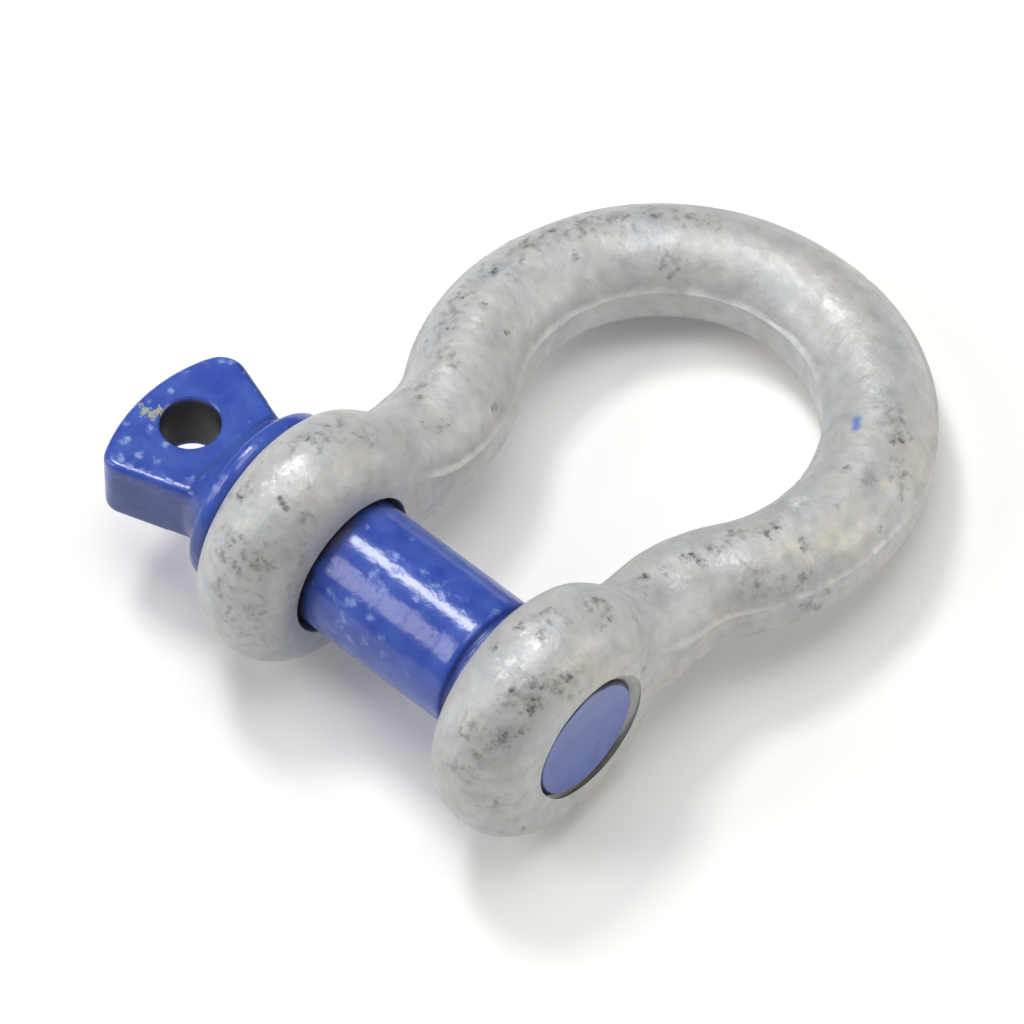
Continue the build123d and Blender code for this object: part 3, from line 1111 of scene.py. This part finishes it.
# how dark each place is: mostly painted shade, with grime and shade in the thread
thick_grime_and_shade, side_shade, underside_shade, groove_shade, thin_grime_and_shade = 0.85, 0.42, 0.4, 0.5, 0.15
shade_band_wander, shade_band_size = 0.9, 2.2


def grime_and_shade_on_pin(place):
    """Painted shade on the pin, with grime in the thread and bare steel in the spike's hole."""
    away = place - spike_middle
    along = away.dot(spike_axis)
    # painted shade in the spike's hole, over bare steel
    if (away - spike_axis * along).length < spike_radius + 0.05:
        return fade(abs(along), lug_thick / 2 - 0.7, lug_thick / 2 - 0.2)
    # painted shade on the sides of the lug
    if place.x < lug_flat_start:  # the sides of the lug
        side_at = lug_root_half + side_slope * (lug_flat_start - place.x)
        return side_shade * fade(abs(place.y), side_at - 0.2, side_at - 0.5)
    # painted shade, darker towards the bottom of the flare and the collar
    if place.x < collar_in + 0.05:  # the lower half of the flare and the collar
        return underside_shade * fade(place.z, 2, 8)
    # a ring of painted shadow for the gap around the tip
    if place.x > tip_x - 1:  # a ring on the chamfer of the tip
        return fade(place.x, tip_x - 0.2, tip_x - 0.02)
    radius = math.hypot(place.y, place.z)
    # grime and painted shade in the roots of the thread
    if place.x > eye_inner_x + 0.3:  # the roots of the thread
        return thick_grime_and_shade * fade(radius, thread_root + 0.2, thread_root + 0.7)
    # painted shade in the groove and where the thread enters the right eye
    if place.x > 0:  # the groove and the start of the thread
        in_groove = groove_shade * fade(radius, groove_radius + 0.05, groove_radius + 0.4)
        return max(in_groove, thick_grime_and_shade * fade(place.x, 10.3, 9.9))
    # painted shade where the shank enters the left eye, fading to grime inside it
    past_eye = place.x + shade_band_wander * noise.noise(place / shade_band_size) + eye_inner_x
    if past_eye < -0.9:  # inside the left eye
        return part_way(thin_grime_and_shade, thick_grime_and_shade, fade(past_eye, -0.9, -4.5))
    return thick_grime_and_shade * fade(past_eye, -0.2, 0.6)


store_values(pin, "grime_and_shade", grime_and_shade_on_pin)

# %% Painted light on the pin's end
end_light_middle, end_light_rise = 0.55, 0.4


def painted_light_on_end(place):
    """Painted light on the flat end, which grows stronger towards its top."""
    on_end = place.x > tip_x - 0.1
    return end_light_middle + end_light_rise * place.z / tip_radius if on_end else 0


store_values(pin, "painted_end_light", painted_light_on_end)

# %% [markdown]
# ## Effects that both finishes use
#
# Mottling and broken marks are on the zinc and on the paint, only in other colours
# and sizes. Each is a node group with named inputs and one output, built once and
# placed in both materials. Both read Object coordinates, which stay fixed to the
# steel when the pin is drawn out.


# %% Start a node group
def new_group(name, inputs, output):
    """An empty node group with these number inputs, besides Place, and one output."""
    group = bpy.data.node_groups.new(name, "ShaderNodeTree")
    group.interface.new_socket("Place", in_out="INPUT", socket_type="NodeSocketVector")
    for given_name, usual in inputs.items():
        socket = group.interface.new_socket(
            given_name, in_out="INPUT", socket_type="NodeSocketFloat"
        )
        socket.default_value = usual
    group.interface.new_socket(output, in_out="OUTPUT", socket_type="NodeSocketFloat")
    given = group.nodes.new("NodeGroupInput").outputs
    return group, given, group.nodes.new("NodeGroupOutput").inputs


def use_group(tree, group, place, **values):
    """Places a group in a material; gives its one output."""
    inputs = {"Place": place, **values}
    return add_node(tree, "ShaderNodeGroup", inputs, node_tree=group).outputs[0]


# %% Mottling and broken marks
mottle, given, result = new_group("mottle", {"Scale": 200.0, "Contrast": 1.0}, "Value")
broad = noise_value(mottle, given["Place"], given["Scale"], 3.0, 0.55)
centred = math_value(mottle, "SUBTRACT", broad, 0.5)
stretched = math_value(mottle, "MULTIPLY", centred, given["Contrast"])
back = math_value(mottle, "ADD", stretched, 0.5, clamp=True)
mottle.links.new(back, result["Value"])

usual = {"Amount": 1.0, "Scale": 1000.0, "Level": 0.76, "Cover": 0.3, "Softness": 0.2}
broken, given, result = new_group("broken marks", usual, "Mask")
spots = noise_value(broken, given["Place"], given["Scale"], 3.0, 0.6)
lowered = math_value(broken, "MULTIPLY", given["Amount"], given["Cover"])
level = math_value(broken, "SUBTRACT", given["Level"], lowered)
full = math_value(broken, "ADD", level, given["Softness"])
broken.links.new(ramp_between(broken, spots, level, full), result["Mask"])
print("node groups:", [group.name for group in bpy.data.node_groups])

# %% [markdown]
# ## Galvanised zinc
#
# Old zinc is a matt light grey. Cool and warm patches drift into each other, small
# white blooms and dark grey specks lie on top, and the surface has a fine grain. The
# lit mouth of the tapped hole is painted pale as painted light, and the cream on the
# right leg's outer bend is partly a painted pool of warm light. It is only partly
# metallic in look, because its oxide scatters light like chalk. The colour is built
# in layers, each with a mask that says where it shows.


# %% Helpers for layered materials
def start_material(name):
    """A new material, its node tree, its shader and the object's coordinates."""
    material = bpy.data.materials.new(name)
    material.use_nodes = True
    tree = material.node_tree
    place = add_node(tree, "ShaderNodeTexCoord").outputs["Object"]
    return material, tree, tree.nodes["Principled BSDF"], place


def stored(tree, name):
    """The value that the vertices store under this name."""
    return add_node(tree, "ShaderNodeAttribute", attribute_name=name).outputs["Fac"]


def marks(tree, place, amount, scale, cover, softness):
    """Where broken marks show; amount says where they may, and how thickly."""
    values = {"Amount": amount, "Scale": scale, "Cover": cover, "Softness": softness}
    return use_group(tree, broken, place, **values)


def layered(tree, colour, layers):
    """The colour, with each layer's own colour over it where that layer's mask is."""
    for mask, own_colour in layers:
        colour = mix_colours(tree, mask, colour, own_colour)
    return colour


# %% Mix the zinc
cool_zinc, warm_zinc = (0.51, 0.54, 0.57, 1), (0.58, 0.565, 0.53, 1)
pale_zinc_and_painted_light, cream_zinc_and_warm_light = (0.72, 0.73, 0.73, 1), (0.72, 0.68, 0.56, 1)
grey_scuff, dark_speck = (0.25, 0.26, 0.255, 1), (0.105, 0.11, 0.10, 1)
spot_blue = (0.13, 0.23, 0.60, 1)
least_scuff = 0.45  # some scuffs are everywhere

zinc, tree, shader, place = start_material("galvanised zinc")
drift = use_group(tree, mottle, place, Scale=150.0, Contrast=2.6)
cloud = use_group(tree, mottle, place, Scale=520.0, Contrast=2.2)
scuffed = math_value(tree, "MAXIMUM", stored(tree, "scuffs"), least_scuff)
specks = stored(tree, "specks")
zinc_layers = (
    (ramp_between(tree, cloud, 0.45, 1.0, 0.0, 0.36), pale_zinc_and_painted_light),
    (ramp_between(tree, cloud, 0.5, 0.0, 0.0, 0.24), grey_scuff),
    # pale zinc blooms, and painted light on the mouth of the tapped hole
    (marks(tree, place, stored(tree, "pale"), 1100.0, 0.36, 0.22), pale_zinc_and_painted_light),
    # cream tone, and painted warm light on the right leg's bend
    (marks(tree, place, stored(tree, "cream"), 560.0, 0.42, 0.5), cream_zinc_and_warm_light),
    (marks(tree, place, scuffed, 950.0, 0.35, 0.36), grey_scuff),
    (marks(tree, place, specks, 800.0, 0.38, 0.45), grey_scuff),
    (marks(tree, place, specks, 1150.0, 0.33, 0.30), dark_speck),
    (ramp_between(tree, stored(tree, "pit"), 0.1, 1.0), dark_speck),
    (ramp_between(tree, stored(tree, "blue_spot"), 0.0, 1.0, 0.0, 0.85), spot_blue),
)
colour = layered(tree, mix_colours(tree, drift, cool_zinc, warm_zinc), zinc_layers)
tree.links.new(colour, shader.inputs["Base Color"])
print("the zinc has", len(zinc_layers), "layers over its two greys")

# %% Grain, gloss and bumps of the zinc
shader.inputs["Metallic"].default_value = 0.25
gloss = use_group(tree, mottle, place, Scale=330.0, Contrast=2.0)
tree.links.new(ramp_between(tree, gloss, 0.0, 1.0, 0.40, 0.62), shader.inputs["Roughness"])
lumps = bump(tree, noise_value(tree, place, 480.0), 0.5, 0.35)
grain = bump(tree, noise_value(tree, place, 2400.0, 2.0), 0.35, 0.08, under=lumps)
tree.links.new(grain, shader.inputs["Normal"])
bow.data.materials.clear()
bow.data.materials.append(zinc)
print("zinc has", len(tree.nodes), "nodes")

# %% [markdown]
# ## Blue paint
#
# The pin was dipped or sprayed in a thick gloss paint, which flows over small dents
# and gives clear white highlights. It is worn pale along the edges of the lug and
# chipped where the spike and the bow touched it, and some pale chips are painted
# highlights: on the flare and the collar, beside the lamps' stripes on the shank and
# on the thread's first turn. One patch at the hole is bare. Near black is painted
# where shade falls, with grime in the thread, and the pin's end is painted paler as
# painted light. Where it is chipped, bare, grimy or painted dark it is duller and
# lies a little lower.

# %% Mix the paint
deep_blue, light_blue = (0.036, 0.074, 0.40, 1), (0.066, 0.125, 0.49, 1)
worn_blue, pale_blue = (0.16, 0.24, 0.60, 1), (0.25, 0.35, 0.72, 1)
bare_steel, grime_and_shade_colour = (0.33, 0.36, 0.27, 1), (0.020, 0.023, 0.020, 1)
painted_end_light_colour, painted_end_light_cover = (0.34, 0.38, 0.60, 1), 0.4
scratch_amount = 0.5

paint, tree, shader, place = start_material("blue gloss paint")
drift = use_group(tree, mottle, place, Scale=260.0, Contrast=3.0)
scratches = marks(tree, place, scratch_amount, 900.0, 0.26, 0.2)
chips_and_highlights = marks(tree, place, stored(tree, "chips_and_highlights"), 850.0, 0.42, 0.42)
bare = marks(tree, place, stored(tree, "bare"), 1300.0, 0.40, 0.15)
# painted light: the pin's end is paler, more so towards its top
painted_end_light = math_value(tree, "MULTIPLY", stored(tree, "painted_end_light"), painted_end_light_cover)
# the near-black layer: painted shade, with grime in the thread
grime_and_shade = stored(tree, "grime_and_shade")
paint_layers = (
    (scratches, worn_blue),
    (chips_and_highlights, pale_blue),
    (bare, bare_steel),
    (painted_end_light, painted_end_light_colour),
    (grime_and_shade, grime_and_shade_colour),
)
colour = layered(tree, mix_colours(tree, drift, deep_blue, light_blue), paint_layers)
tree.links.new(colour, shader.inputs["Base Color"])
print("the paint has", len(paint_layers), "layers over its two blues")

# %% Gloss and bumps of the paint
dull = math_value(tree, "MAXIMUM", math_value(tree, "MAXIMUM", chips_and_highlights, bare), grime_and_shade)
tree.links.new(ramp_between(tree, dull, 0.0, 1.0, 0.19, 0.5), shader.inputs["Roughness"])
peel = bump(tree, noise_value(tree, place, 480.0), 0.5, 0.17)
chipped = bump(tree, dull, 0.5, 0.06, under=peel, invert=True)
tree.links.new(chipped, shader.inputs["Normal"])
pin.data.materials.clear()
pin.data.materials.append(paint)
print("paint has", len(tree.nodes), "nodes")

# %% [markdown]
# ## Hand the pieces over
#
# Each piece hides its CAD node and is hung on an empty named after that node's
# body, so that the pin can be drawn out of the bow.

# %% Hide the CAD parts and hang each piece on its body
for piece, node, slot_name in ((bow, "bow", "galvanised"), (pin, "screw_pin", "blue_paint")):
    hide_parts(node)
    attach(piece, node)
